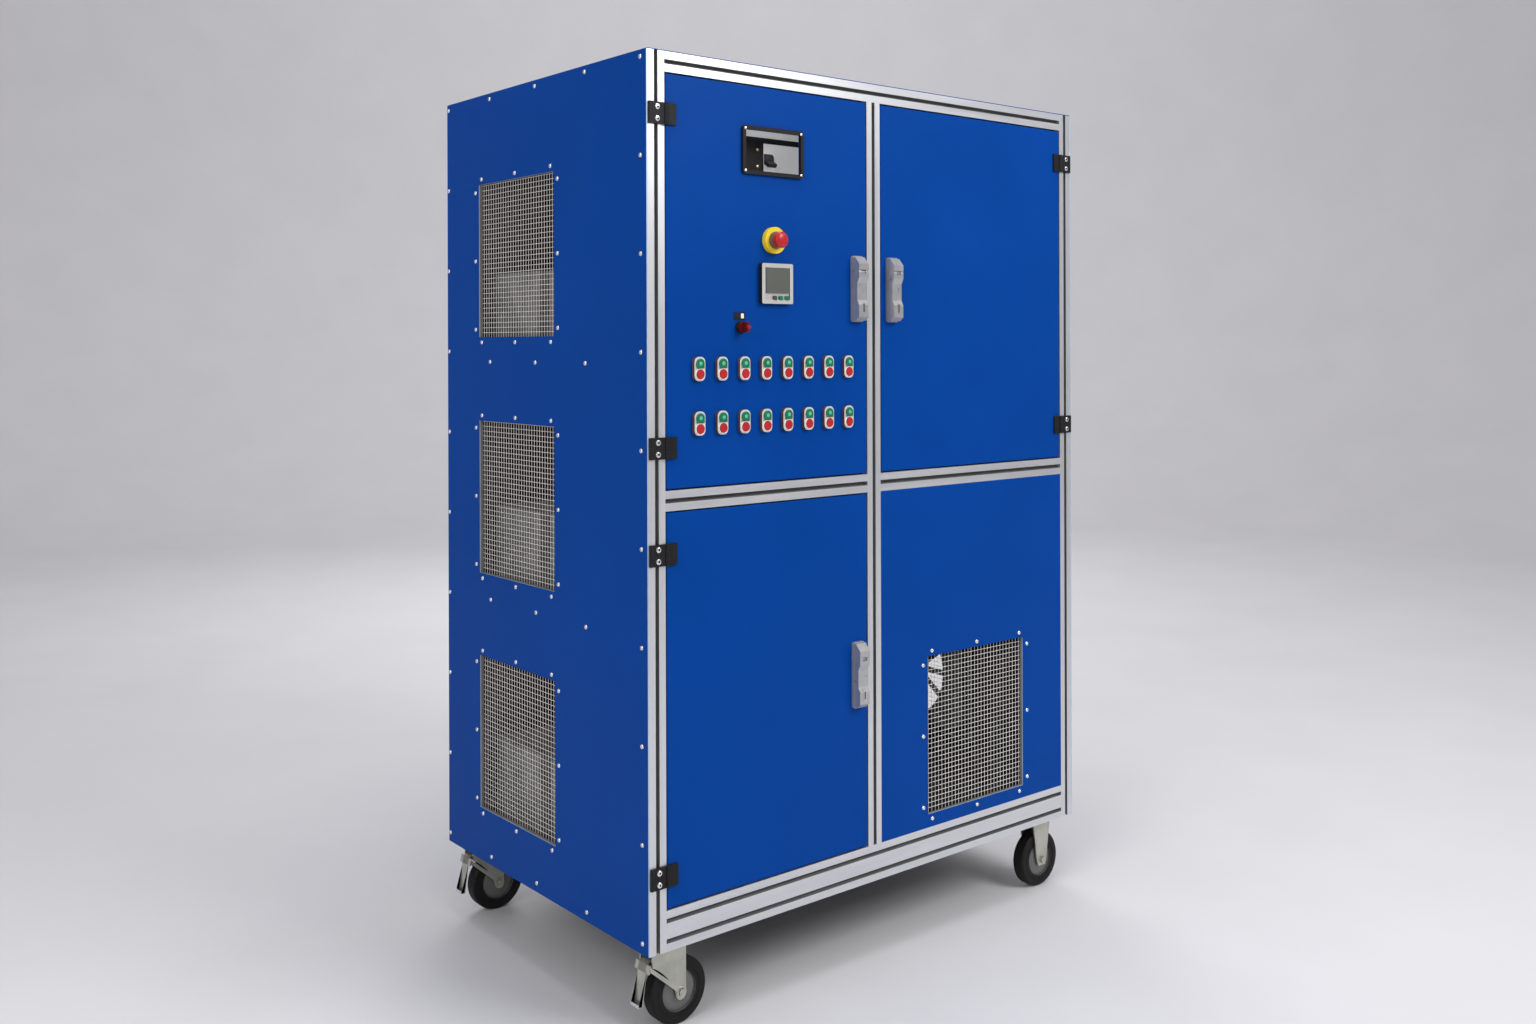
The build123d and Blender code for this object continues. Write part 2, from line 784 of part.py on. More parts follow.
def make_fans():
    """Three exhaust fans behind the right side's openings."""
    face = right - mesh_bar - fan_depth
    housings = []
    for i, (y, z) in enumerate(side_grille_centres):
        with BuildPart() as housing:
            with BuildSketch(facing_right(face)):
                with Locations((y, z)):
                    Rectangle(fan_frame, fan_frame)
                    Circle(fan_bore / 2, mode=Mode.SUBTRACT)
            extrude(amount=fan_depth)
            with BuildSketch(facing_right(face)):
                with Locations((y, z)):
                    Rectangle(fan_bore + 8, 16)
                    Rectangle(16, fan_bore + 8)
                    Circle(fan_hub / 2)
            extrude(amount=8)
            with BuildSketch(facing_right(face + 8)):
                with Locations((y, z)):
                    Circle(fan_shaft / 2)
            extrude(amount=fan_depth * 0.6)
        housings.append(housing.part)
        with BuildPart() as rotor:
            with BuildSketch(facing_right(face + 12)):
                with Locations((y, z)):
                    Circle(fan_hub / 2)
            extrude(amount=36)
            with Locations(Plane(origin=(face + 30, y, z), x_dir=(0, 1, 0), z_dir=(1, 0, 0))):
                with PolarLocations(0, fan_blades):
                    with Locations(Location(((fan_hub + fan_bore) / 4 - 4, 0, 0), (fan_blade_pitch, 0, 0))):
                        Box((fan_bore - fan_hub) / 2 - 4, 52, 2.5)
            with BuildSketch(facing_right(face + 12)):
                with Locations((y, z)):
                    Circle(fan_shaft / 2 + running_clearance)
            extrude(amount=36, mode=Mode.SUBTRACT)
        save(f"fan_rotor_{i + 1}", rotor.part)
    save("fan_housings", Compound(children=housings))


# ---------------------------------------------------------------- casters
class Caster:
    """One wheel and its fork under a corner of the frame. A swivel caster trails towards the right."""

    def __init__(self, name, x, y, swivel):
        self.name = name
        self.x = x
        self.y = y
        self.swivel = swivel
        self.wheel_x = x + (caster_trail if swivel else 0)


caster_left = left + caster_inset_left
caster_right = right - caster_inset_right
casters = [
    Caster("front_left", caster_left, front + caster_inset_y, True),
    Caster("rear_left", caster_left, rear - caster_inset_y, True),
    Caster("front_right", caster_right, front + caster_inset_y, False),
    Caster("rear_right", caster_right, rear - caster_inset_y, False),
]


def fork_on(caster, crown_top):
    """A bent sheet fork: a crown under crown_top, two tapered legs, and the axle through them."""
    inner = wheel_width / 2 + fork_gap
    outer = inner + fork_sheet
    with BuildPart() as fork:
        with BuildSketch(Plane.XY.offset(crown_top - fork_sheet)):
            with Locations((caster.x, caster.y)):
                Rectangle(fork_crown, 2 * outer)
        extrude(amount=fork_sheet)
        for start in (caster.y + inner, caster.y - outer):
            with BuildSketch(facing_front(start + fork_sheet)):
                with BuildLine():
                    Polyline([
                        (caster.x - fork_crown / 2, crown_top),
                        (caster.x + fork_crown / 2, crown_top),
                        (caster.wheel_x + fork_eye, wheel_radius + 2),
                        (caster.wheel_x + fork_eye * 0.7, wheel_radius - fork_eye * 0.8),
                        (caster.wheel_x - fork_eye * 0.7, wheel_radius - fork_eye * 0.8),
                        (caster.wheel_x - fork_eye, wheel_radius + 2),
                    ], close=True)
                make_face()
            extrude(amount=fork_sheet)
        with BuildSketch(facing_front(caster.y + outer + axle_head)):
            with Locations((caster.wheel_x, wheel_radius)):
                Circle(axle_diameter / 2)
        extrude(amount=2 * (outer + axle_head))
        for start in (caster.y + outer + axle_head, caster.y - outer):
            with BuildSketch(facing_front(start)):
                with Locations((caster.wheel_x, wheel_radius)):
                    RegularPolygon(axle_diameter * 0.85, 6)
            extrude(amount=axle_head)
        if caster.swivel:
            with BuildSketch(Plane.XY.offset(crown_top - fork_sheet)):
                with Locations((caster.x, caster.y)):
                    Circle(king_pin / 2 + running_clearance)
            extrude(amount=fork_sheet, mode=Mode.SUBTRACT)
    return fork.part


def make_casters():
    """Plates on the frame, two swivel forks with brake pedals, two rigid forks and four wheels."""
    plates = []
    rigid = []
    for caster in casters:
        plates.append(box_at(caster.x - caster_plate_x / 2, caster.x + caster_plate_x / 2,
                             caster.y - caster_plate_y / 2, caster.y + caster_plate_y / 2,
                             base - caster_plate_thickness, base))
        seat = base - caster_plate_thickness
        if caster.swivel:
            crown_top = seat - race_height
            with BuildPart() as race:
                with BuildSketch(Plane.XY.offset(seat)):
                    with Locations((caster.x, caster.y)):
                        Circle(race_diameter / 2)
                extrude(amount=-(race_height - clearance))
                with BuildSketch(Plane.XY.offset(seat)):
                    with Locations((caster.x, caster.y)):
                        Circle(king_pin / 2)
                extrude(amount=-(race_height + fork_sheet + clearance))
                with BuildSketch(Plane.XY.offset(crown_top - fork_sheet - clearance)):
                    with Locations((caster.x, caster.y)):
                        Circle(king_pin * 0.8)
                extrude(amount=-4)
            plates[-1] = plates[-1] + race.part
            save(f"{caster.name}_swivel_fork", fork_on(caster, crown_top))
            make_pedal(caster)
        else:
            rigid.append(fork_on(caster, seat))
        with BuildPart() as wheel:
            with BuildSketch(facing_front(caster.y + wheel_width / 2)):
                with Locations((caster.wheel_x, wheel_radius)):
                    Circle(wheel_radius)
            extrude(amount=wheel_width)
            chamfer(wheel.faces().filter_by(Axis.Y).edges(), 4)
            for start in (caster.y + wheel_width / 2, caster.y - wheel_width / 2 + hub_recess):
                with BuildSketch(facing_front(start)):
                    with Locations((caster.wheel_x, wheel_radius)):
                        Circle(hub_diameter / 2)
                extrude(amount=hub_recess, mode=Mode.SUBTRACT)
            with BuildSketch(facing_front(caster.y + wheel_width / 2)):
                with Locations((caster.wheel_x, wheel_radius)):
                    Circle(axle_diameter)
            extrude(amount=wheel_width)
            with BuildSketch(facing_front(caster.y + wheel_width / 2)):
                with Locations((caster.wheel_x, wheel_radius)):
                    Circle(axle_diameter / 2 + running_clearance)
            extrude(amount=wheel_width, mode=Mode.SUBTRACT)
        save(f"{caster.name}_wheel", wheel.part)
    save("caster_plates", Compound(children=plates))
    save("rigid_forks", Compound(children=rigid))


def make_pedal(caster):
    """A brake pedal: two arms on the axle outside the fork, joined by a tread that points to the left."""
    inner = wheel_width / 2 + fork_gap + fork_sheet + clearance
    far = caster.wheel_x - pedal_reach
    near = caster.wheel_x - wheel_radius - pedal_gap
    with BuildPart() as pedal:
        for start in (caster.y + inner + pedal_sheet, caster.y - inner):
            with BuildSketch(facing_front(start)):
                with Locations((caster.wheel_x, wheel_radius)):
                    Circle(axle_diameter * 1.4)
                with BuildLine():
                    Polyline([
                        (caster.wheel_x, wheel_radius + 9),
                        (near - pedal_tread, wheel_radius - 1),
                        (near - pedal_tread, wheel_radius - 9),
                        (caster.wheel_x, wheel_radius - 9),
                    ], close=True)
                make_face()
                with Locations((caster.wheel_x, wheel_radius)):
                    Circle(axle_diameter * 0.85 + running_clearance, mode=Mode.SUBTRACT)
            extrude(amount=pedal_sheet)
        with BuildSketch(facing_front(caster.y + inner + pedal_sheet)):
            with BuildLine():
                Polyline([(near, wheel_radius - 5), (near, wheel_radius - 1), (near - pedal_tread, wheel_radius - 5),
                          (near - pedal_tread, wheel_radius - 9)], close=True)
            make_face()
        extrude(amount=2 * (inner + pedal_sheet))
    save(f"{caster.name}_brake_pedal", pedal.part)


make_posts()
make_rails()
make_panels()
make_grilles()
make_glands()
for each_door in doors:
    make_door(each_door)
    make_handle(each_door)
make_hinges()
make_window()
make_panel_device("stop", on_front(*stop_centre), stop_collar, 12, stop_head, 14, 18, stop_reach, stop_body)
make_panel_device("selector", on_front(*selector_centre), selector_collar, 7, selector_knob, 12, 7.3, 30, stop_body)
make_meter()
make_stations()
make_inside()
make_fans()
make_casters()
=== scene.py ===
"""Dresses the generator load bank: finishes, fasteners, fine mesh and small details on the CAD frame."""
import math

import bpy
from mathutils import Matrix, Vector


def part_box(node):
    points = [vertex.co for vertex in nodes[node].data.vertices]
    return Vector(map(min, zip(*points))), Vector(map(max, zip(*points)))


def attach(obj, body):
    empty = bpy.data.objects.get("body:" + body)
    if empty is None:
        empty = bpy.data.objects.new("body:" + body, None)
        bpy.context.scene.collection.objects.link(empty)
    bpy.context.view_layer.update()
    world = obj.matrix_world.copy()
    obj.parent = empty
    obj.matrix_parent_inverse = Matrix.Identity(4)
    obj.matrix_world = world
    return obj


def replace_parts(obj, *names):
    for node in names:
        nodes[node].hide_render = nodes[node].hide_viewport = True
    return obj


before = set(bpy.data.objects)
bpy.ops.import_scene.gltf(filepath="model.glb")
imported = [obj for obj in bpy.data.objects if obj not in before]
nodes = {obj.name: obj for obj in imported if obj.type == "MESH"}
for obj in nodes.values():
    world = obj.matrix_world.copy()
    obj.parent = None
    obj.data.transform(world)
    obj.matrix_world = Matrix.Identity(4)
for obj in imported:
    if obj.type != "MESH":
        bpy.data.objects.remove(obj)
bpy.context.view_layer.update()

LEFT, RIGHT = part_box("frame_posts")[0][0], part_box("frame_posts")[1][0]
FRONT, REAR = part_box("frame_posts")[0][1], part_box("frame_posts")[1][1]
BASE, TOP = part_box("frame_posts")[0][2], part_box("frame_posts")[1][2]
SIDE_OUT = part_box("left_side_panel")[0][0]
RIGHT_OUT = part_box("right_side_panel")[1][0]
REAR_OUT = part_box("rear_panel")[1][1]
ROOF_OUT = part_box("roof_panel")[1][2]
PROFILE = 0.045


# ---------------------------------------------------------------- materials
def shader(name, colour, rough, metal=0.0, vary=0.08, scale=18.0, bump=0.0, bump_scale=400.0, coat=0.0,
           rough_vary=0.08, stretch=(1, 1, 1), shine=0.5, painted_glow=0.0):
    """A principled surface whose colour, gloss and relief drift with noise in object space, with an optional
    painted glow.
    """
    material = bpy.data.materials.new(name)
    material.use_nodes = True
    tree = material.node_tree
    new, link = tree.nodes.new, tree.links.new
    surface = tree.nodes["Principled BSDF"]
    surface.inputs["Metallic"].default_value = metal
    surface.inputs["Specular IOR Level"].default_value = shine
    # Painted glow: the surface sends out its own colour at the given strength, light that no lamp casts; the
    # strength is zero unless asked for.
    surface.inputs["Emission Color"].default_value = (*colour, 1)
    surface.inputs["Emission Strength"].default_value = painted_glow
    surface.inputs["Coat Weight"].default_value = coat
    surface.inputs["Coat Roughness"].default_value = 0.2
    place = new("ShaderNodeTexCoord")
    spread = new("ShaderNodeMapping")
    spread.inputs["Scale"].default_value = stretch
    link(place.outputs["Object"], spread.inputs["Vector"])
    noise = new("ShaderNodeTexNoise")
    noise.inputs["Scale"].default_value = scale
    noise.inputs["Detail"].default_value = 6.0
    link(spread.outputs["Vector"], noise.inputs["Vector"])
    ramp = new("ShaderNodeValToRGB")
    low = [c * (1 - vary) for c in colour]
    high = [min(1.0, c * (1 + vary)) for c in colour]
    ramp.color_ramp.elements[0].color = (*low, 1)
    ramp.color_ramp.elements[1].color = (*high, 1)
    ramp.color_ramp.elements[0].position = 0.3
    ramp.color_ramp.elements[1].position = 0.7
    link(noise.outputs["Fac"], ramp.inputs["Fac"])
    link(ramp.outputs["Color"], surface.inputs["Base Color"])
    gloss = new("ShaderNodeMapRange")
    gloss.inputs["To Min"].default_value = max(0.02, rough - rough_vary)
    gloss.inputs["To Max"].default_value = min(1.0, rough + rough_vary)
    link(noise.outputs["Fac"], gloss.inputs["Value"])
    link(gloss.outputs["Result"], surface.inputs["Roughness"])
    if bump:
        fine = new("ShaderNodeTexNoise")
        fine.inputs["Scale"].default_value = bump_scale
        fine.inputs["Detail"].default_value = 3.0
        link(spread.outputs["Vector"], fine.inputs["Vector"])
        relief = new("ShaderNodeBump")
        relief.inputs["Strength"].default_value = bump
        relief.inputs["Distance"].default_value = 0.0004
        link(fine.outputs["Fac"], relief.inputs["Height"])
        link(relief.outputs["Normal"], surface.inputs["Normal"])
    return material


BLUE = shader("blue_powder", (0.0002, 0.050, 0.285), 0.4, vary=0.05, scale=3, bump=0.12, bump_scale=900,
              shine=0.05)
INSIDE = shader("shaded_sheet", (0.016, 0.016, 0.017), 0.6, metal=0.2, vary=0.2, scale=20, shine=0.2)
CASE = shader("galvanised_case", (0.19, 0.185, 0.17), 0.45, metal=0.3, vary=0.4, scale=14, bump=0.05)
REVEAL = shader("taupe_reveal", (0.23, 0.21, 0.19), 0.5, metal=0.3, vary=0.15, scale=30)
STATION_SIDE = shader("station_side", (0.12, 0.05, 0.04), 0.5, vary=0.2)
METER_FACE = shader("meter_face", (0.47, 0.46, 0.44), 0.45, vary=0.03, shine=0.3)
# A paler blue-grey for the narrow edge faces of the panels.
PALE_EDGE = shader("pale_panel_edge", (0.42, 0.55, 0.72), 0.4, metal=0.3, scale=40)
ALUMINIUM = shader("anodised_profile", (0.66, 0.67, 0.69), 0.36, metal=0.75, vary=0.05, scale=60,
                   bump=0.06, bump_scale=700, stretch=(1, 1, 0.05))
ALUMINIUM_FLAT = shader("anodised_rail", (0.66, 0.67, 0.69), 0.36, metal=0.75, vary=0.05, scale=60,
                        bump=0.06, bump_scale=700, stretch=(0.05, 1, 1))
SLOT_DARK = shader("slot_shadow", (0.15, 0.15, 0.15), 0.6, metal=0.2)
WIRE = shader("zinc_wire", (0.82, 0.80, 0.76), 0.4, metal=0.3, vary=0.12, scale=60)
BLACK = shader("black_plastic", (0.010, 0.010, 0.011), 0.5, vary=0.2, bump=0.15, bump_scale=1200,
               shine=0.2)
DARK = shader("dark_plastic", (0.045, 0.045, 0.05), 0.5, vary=0.2, bump=0.1)
HANDLE = shader("silver_casting", (0.44, 0.44, 0.45), 0.30, metal=0.6, vary=0.06, scale=40, bump=0.12,
                bump_scale=1400)
YELLOW = shader("yellow_plate", (0.85, 0.60, 0.02), 0.4, vary=0.04)
COLLAR = shader("collar_brown", (0.10, 0.08, 0.07), 0.45, vary=0.1)
RED = shader("red_button", (0.45, 0.016, 0.02), 0.28, vary=0.05, coat=0.2, shine=0.3)
DEEP_RED = shader("deep_red_knob", (0.10, 0.005, 0.005), 0.35, vary=0.1, shine=0.3)
GREEN = shader("green_button", (0.003, 0.16, 0.08), 0.3, vary=0.06, coat=0.2, shine=0.3)
# Painted reflection: a pale mint for the bright spot at the centre of each green start cap.
MINT_REFLECTION = shader("mint_painted_reflection", (0.10, 0.50, 0.30), 0.3, vary=0.1)
CREAM = shader("cream_bezel", (0.62, 0.61, 0.56), 0.4, vary=0.03, shine=0.3)
WHITE = shader("white_ring", (0.86, 0.86, 0.84), 0.35, vary=0.03)
# Painted glow: the breaker's pale faces shine by themselves, to brighten them behind the window where little
# lamp light reaches.
GLOWING_PALE_FACE = shader("pale_face_painted_glow", (0.80, 0.80, 0.78), 0.4, vary=0.06, scale=30, painted_glow=0.38)
LCD = shader("display", (0.115, 0.12, 0.105), 0.25, vary=0.05, scale=8, shine=0.2)
ELEMENT = shader("element_steel", (0.34, 0.31, 0.27), 0.42, metal=0.8, vary=0.25, scale=25)
ZINC = shader("zinc_plate", (0.47, 0.47, 0.41), 0.32, metal=0.8, vary=0.16, scale=22, bump=0.05)
STEEL = shader("bright_screw", (0.80, 0.80, 0.80), 0.22, metal=0.95, vary=0.05, scale=80)
RUBBER = shader("tyre_rubber", (0.009, 0.009, 0.009), 0.6, vary=0.25, scale=30, bump=0.2, bump_scale=600,
                shine=0.2)
HUB = shader("hub_grey", (0.15, 0.15, 0.145), 0.4, metal=0.4, vary=0.08, scale=20)
BRASS = shader("brass_screw", (0.72, 0.5, 0.2), 0.3, metal=0.9, vary=0.06)
CONCRETE = shader("pale_floor", (0.63, 0.625, 0.64), 0.75, vary=0.02, scale=2)


def make_glass():
    """A clear pane that hides nothing behind it."""
    material = shader("clear_pane", (0.02, 0.02, 0.022), 0.06, vary=0.02, rough_vary=0.02)
    surface = material.node_tree.nodes["Principled BSDF"]
    surface.inputs["Transmission Weight"].default_value = 0.0
    surface.inputs["Alpha"].default_value = 0.06
    return material


GLASS = make_glass()

FINISHES = {
    ALUMINIUM: ["frame_posts"],
    ALUMINIUM_FLAT: ["top_rails", "base_rails", "cross_rails"],
    BLUE: ["left_side_panel", "right_side_panel", "rear_panel", "roof_panel", "front_fixed_panel",
           "upper_left_door", "lower_left_door", "upper_right_door"],
    INSIDE: ["floor_panel", "inner_sheets"],
    CASE: ["resistor_cases", "fan_housings"],
    BLACK: ["hinge_post_leaves", "upper_left_hinge_leaves", "lower_left_hinge_leaves",
            "upper_right_hinge_leaves", "window_border", "selector_collar", "cable_glands"],
    HANDLE: [f"{door}_handle_{part}" for door in ("upper_left", "lower_left", "upper_right")
             for part in ("base", "head", "lever")],
    GLASS: ["window_pane"],
    YELLOW: ["stop_collar"],
    RED: ["stop_knob", "stop_buttons"],
    DEEP_RED: ["selector_knob"],
    GREEN: ["start_buttons"],
    CREAM: ["button_stations"],
    METER_FACE: ["power_meter"],
    # The main breaker gets the pale face with its painted glow.
    GLOWING_PALE_FACE: ["main_breaker"],
    DARK: ["breaker_toggle", "contactors", "fan_rotor_1", "fan_rotor_2", "fan_rotor_3"],
    ELEMENT: ["resistor_elements"],
    ZINC: ["caster_plates", "rigid_forks", "front_left_swivel_fork", "rear_left_swivel_fork",
           "front_left_brake_pedal", "rear_left_brake_pedal"],
    RUBBER: ["front_left_wheel", "rear_left_wheel", "front_right_wheel", "rear_right_wheel"],
}
for finish, names in FINISHES.items():
    for name in names:
        nodes[name].data.materials.clear()
        nodes[name].data.materials.append(finish)


def repaint(name, finish, test):
    """Gives the faces of a node that pass test(centre, normal) another finish."""
    mesh = nodes[name].data
    mesh.materials.append(finish)
    index = len(mesh.materials) - 1
    for face in mesh.polygons:
        if test(face.center, face.normal):
            face.material_index = index


# The narrow edge faces of the side, rear and fixed front panels get the paler blue-grey.
for name in ("left_side_panel", "right_side_panel"):
    repaint(name, PALE_EDGE, lambda c, n: abs(n.x) < 0.5)
for name in ("rear_panel", "front_fixed_panel"):
    repaint(name, PALE_EDGE, lambda c, n: abs(n.y) < 0.5)
repaint("rear_panel", INSIDE, lambda c, n: n.y < -0.5)
repaint("front_fixed_panel", INSIDE, lambda c, n: n.y > 0.5)
repaint("left_side_panel", INSIDE, lambda c, n: n.x > 0.5)
repaint("right_side_panel", INSIDE, lambda c, n: n.x < -0.5)
repaint("power_meter", BLACK, lambda c, n: n.y > -0.5)
repaint("button_stations", STATION_SIDE, lambda c, n: n.y > -0.5)


# ---------------------------------------------------------------- building blocks
class Shape:
    """Gathers vertices and faces for one piece."""

    def __init__(self):
        self.verts = []
        self.faces = []

    def add(self, verts, faces):
        """Adds vertices, and faces that count from the first of them."""
        start = len(self.verts)
        self.verts += [tuple(v) for v in verts]
        self.faces += [tuple(start + i for i in face) for face in faces]

    def box(self, low, high):
        x0, y0, z0 = low
        x1, y1, z1 = high
        verts = [(x, y, z) for x in (x0, x1) for y in (y0, y1) for z in (z0, z1)]
        ends = [(0, 1, 3, 2), (4, 6, 7, 5)]
        walls = [(0, 4, 5, 1), (2, 3, 7, 6), (0, 2, 6, 4), (1, 5, 7, 3)]
        self.add(verts, ends + walls)

    def turned(self, centre, axis, outline, sides=20, ring=False):
        """A turned form from (distance along, radius) pairs, closed by flats or, as a ring, on itself."""
        axis = Vector(axis).normalized()
        across = axis.orthogonal().normalized()
        up = axis.cross(across)
        centre = Vector(centre)
        verts = []
        for along, radius in outline:
            for i in range(sides):
                angle = 2 * math.pi * i / sides
                outwards = across * math.cos(angle) + up * math.sin(angle)
                verts.append(centre + axis * along + outwards * radius)
        faces = []
        for level in range(len(outline) - 1):
            for i in range(sides):
                a = level * sides + i
                b = level * sides + (i + 1) % sides
                faces.append((a, b, b + sides, a + sides))
        last = (len(outline) - 1) * sides
        if ring:
            faces += [(last + i, last + (i + 1) % sides, (i + 1) % sides, i) for i in range(sides)]
            self.add(verts, faces)
            return
        faces.append(tuple(last + i for i in range(sides)))
        faces.append(tuple(reversed(range(sides))))
        self.add(verts, faces)

    def sheet(self, outline, near, far):
        """A flat plate: (x, z) corners in order, from one y to another."""
        count = len(outline)
        self.add([(x, near, z) for x, z in outline] + [(x, far, z) for x, z in outline],
                 [(i, (i + 1) % count, count + (i + 1) % count, count + i) for i in range(count)]
                 + [tuple(range(count, 2 * count)), tuple(reversed(range(count)))])

    def finish(self, name, material, body, slot, smooth=True):
        """Makes the piece and ties it to its body; the slot argument is not used."""
        mesh = bpy.data.meshes.new(name)
        mesh.from_pydata(self.verts, [], self.faces)
        mesh.materials.append(material)
        mesh.update()
        piece = bpy.data.objects.new(name, mesh)
        bpy.context.scene.collection.objects.link(piece)
        if smooth:
            for face in mesh.polygons:
                face.use_smooth = True
            mesh.set_sharp_from_angle(angle=math.radians(35))
        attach(piece, body)
        return piece


def spread(first, last, count):
    """Evenly spaced numbers from first to last."""
    return [first + (last - first) * i / (count - 1) for i in range(count)]


# ---------------------------------------------------------------- fasteners
BUTTON = [(0.0, 0.0056), (0.0012, 0.0054), (0.0026, 0.0042), (0.0031, 0.0026), (0.0031, 0.0019),
          (0.0014, 0.0018)]
SOCKET_HEAD = [(0.0, 0.0066), (0.0022, 0.0064), (0.0034, 0.0052), (0.0035, 0.0048)]


def grille_screws(across, up, size_across, size_up):
    """Twelve places round a grille opening, three to a side."""
    out = 0.0135
    xs = spread(across - size_across * 0.46, across + size_across * 0.46, 3)
    zs = spread(up - size_up * 0.45, up + size_up * 0.45, 3)
    flat = [(x, up + side * (size_up / 2 + out)) for x in xs for side in (-1, 1)]
    upright = [(across + side * (size_across / 2 + out * 1.3), z) for z in zs for side in (-1, 1)]
    return flat + upright


# A grille's lap behind its opening, the middles of the side openings, and the screw rows between them
LAP = 0.012
SIDE_HEIGHTS = (BASE + 0.333, BASE + 0.942, BASE + 1.553)
TIER_HEIGHTS = (BASE + 0.682, BASE + 1.292)


def side_openings(node):
    """Centres and sizes of a side's three openings: (along Y, up, size along Y, size up)."""
    low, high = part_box(node)
    size_up = 2 * (SIDE_HEIGHTS[0] - low[2] - LAP)
    return [((low[1] + high[1]) / 2, up, high[1] - low[1] - 2 * LAP, size_up) for up in SIDE_HEIGHTS]


left_openings = side_openings("left_grilles")
right_openings = side_openings("right_grilles")
low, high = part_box("front_grille")
front_opening = ((low[0] + high[0]) / 2, (low[2] + high[2]) / 2, high[0] - low[0] - 2 * LAP,
                 high[2] - low[2] - 2 * LAP)
SIDE_COLUMNS = 5
SIDE_ROWS = 10
REAR_COLUMNS = 6
columns = spread(FRONT + PROFILE / 2, REAR - 0.009, SIDE_COLUMNS)
rows = spread(BASE + 0.024, TOP - 0.015, SIDE_ROWS)
side_places = [(y, z) for y in (columns[0], columns[-1]) for z in rows]
side_places += [(y, z) for y in columns[1:-1] for z in (BASE + 0.022, TOP - 0.014, *TIER_HEIGHTS)]

left_screws = Shape()
right_screws = Shape()
for y, z in side_places + [place for opening in left_openings for place in grille_screws(*opening)]:
    left_screws.turned((SIDE_OUT, y, z), (-1, 0, 0), BUTTON)
for y, z in side_places + [place for opening in right_openings for place in grille_screws(*opening)]:
    right_screws.turned((RIGHT_OUT, y, z), (1, 0, 0), BUTTON)
left_screws.finish("left_panel_screws", STEEL, "cabinet", "zinc_plate")
right_screws.finish("right_panel_screws", STEEL, "cabinet", "zinc_plate")

front_screws = Shape()
for x, z in grille_screws(*front_opening):
    front_screws.turned((x, FRONT, z), (0, -1, 0), BUTTON)
front_screws.finish("front_grille_screws", STEEL, "cabinet", "zinc_plate")

rear_screws = Shape()
for x in spread(LEFT + PROFILE / 2, RIGHT - PROFILE / 2, REAR_COLUMNS):
    for z in (rows if x in (LEFT + PROFILE / 2, RIGHT - PROFILE / 2) else (rows[0], rows[-1])):
        rear_screws.turned((x, REAR_OUT, z), (0, 1, 0), BUTTON)
for x in spread(LEFT + PROFILE / 2, RIGHT - PROFILE / 2, REAR_COLUMNS):
    for y in (FRONT + PROFILE / 2, REAR - PROFILE / 2):
        rear_screws.turned((x, y, ROOF_OUT), (0, 0, 1), BUTTON)
for y in spread(FRONT + PROFILE / 2, REAR - PROFILE / 2, SIDE_COLUMNS)[1:-1]:
    for x in (LEFT + PROFILE / 2, RIGHT - PROFILE / 2):
        rear_screws.turned((x, y, ROOF_OUT), (0, 0, 1), BUTTON)
rear_screws.finish("rear_and_roof_screws", STEEL, "cabinet", "zinc_plate")


# ---------------------------------------------------------------- wire mesh
WIRE_PITCH = 0.0127
WIRE_HALF = 0.0007


def weave(shape, wide_axis, level, across, up, size_across, size_up, lap=0.010):
    """Two layers of round-ish wire over one opening; the layers touch."""
    other = 1 - wide_axis
    half_a = size_across / 2 + lap
    half_u = size_up / 2 + lap
    for i in range(int(2 * half_a / WIRE_PITCH) + 1):
        a = across - half_a + WIRE_PITCH * i
        centre = [0, 0, up - half_u]
        centre[wide_axis] = a
        centre[other] = level
        shape.turned(centre, (0, 0, 1), [(0, WIRE_HALF), (2 * half_u, WIRE_HALF)], 6)
    direction = [0, 0, 0]
    direction[wide_axis] = 1
    for i in range(int(2 * half_u / WIRE_PITCH) + 1):
        centre = [0, 0, up - half_u + WIRE_PITCH * i]
        centre[wide_axis] = across - half_a
        centre[other] = level
        shape.turned(centre, direction, [(0, WIRE_HALF), (2 * half_a, WIRE_HALF)], 6)


REVEAL_DEPTH = 0.008
REVEAL_SHEET = 0.0015
FRONT_SHEET = 0.003


def reveal(shape, wide_axis, near, far, across, up, size_across, size_up):
    """A folded rim round an opening, from the back of the panel to the mesh set behind it."""
    low, high = min(near, far), max(near, far)
    a0, a1 = across - size_across / 2, across + size_across / 2
    u0, u1 = up - size_up / 2, up + size_up / 2
    t = REVEAL_SHEET
    for p, q in (((a0 - t, u0 - t), (a0, u1 + t)), ((a1, u0 - t), (a1 + t, u1 + t)),
                 ((a0, u0 - t), (a1, u0)), ((a0, u1), (a1, u1 + t))):
        first, last = [low, low, p[1]], [high, high, q[1]]
        first[wide_axis], last[wide_axis] = p[0], q[0]
        shape.box(first, last)


sheets = Shape()
rims = Shape()
for opening in left_openings:
    weave(sheets, 1, LEFT + REVEAL_DEPTH, *opening, lap=0.001)
    reveal(rims, 1, LEFT, LEFT + REVEAL_DEPTH, *opening)
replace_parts(sheets.finish("left_grilles_wire", WIRE, "cabinet", "mesh"), "left_grilles")
rims.finish("left_grille_rims", REVEAL, "cabinet", "galvanised", smooth=False)
sheets = Shape()
for opening in right_openings:
    weave(sheets, 1, RIGHT - 0.0015, *opening)
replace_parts(sheets.finish("right_grilles_wire", WIRE, "cabinet", "mesh"), "right_grilles")
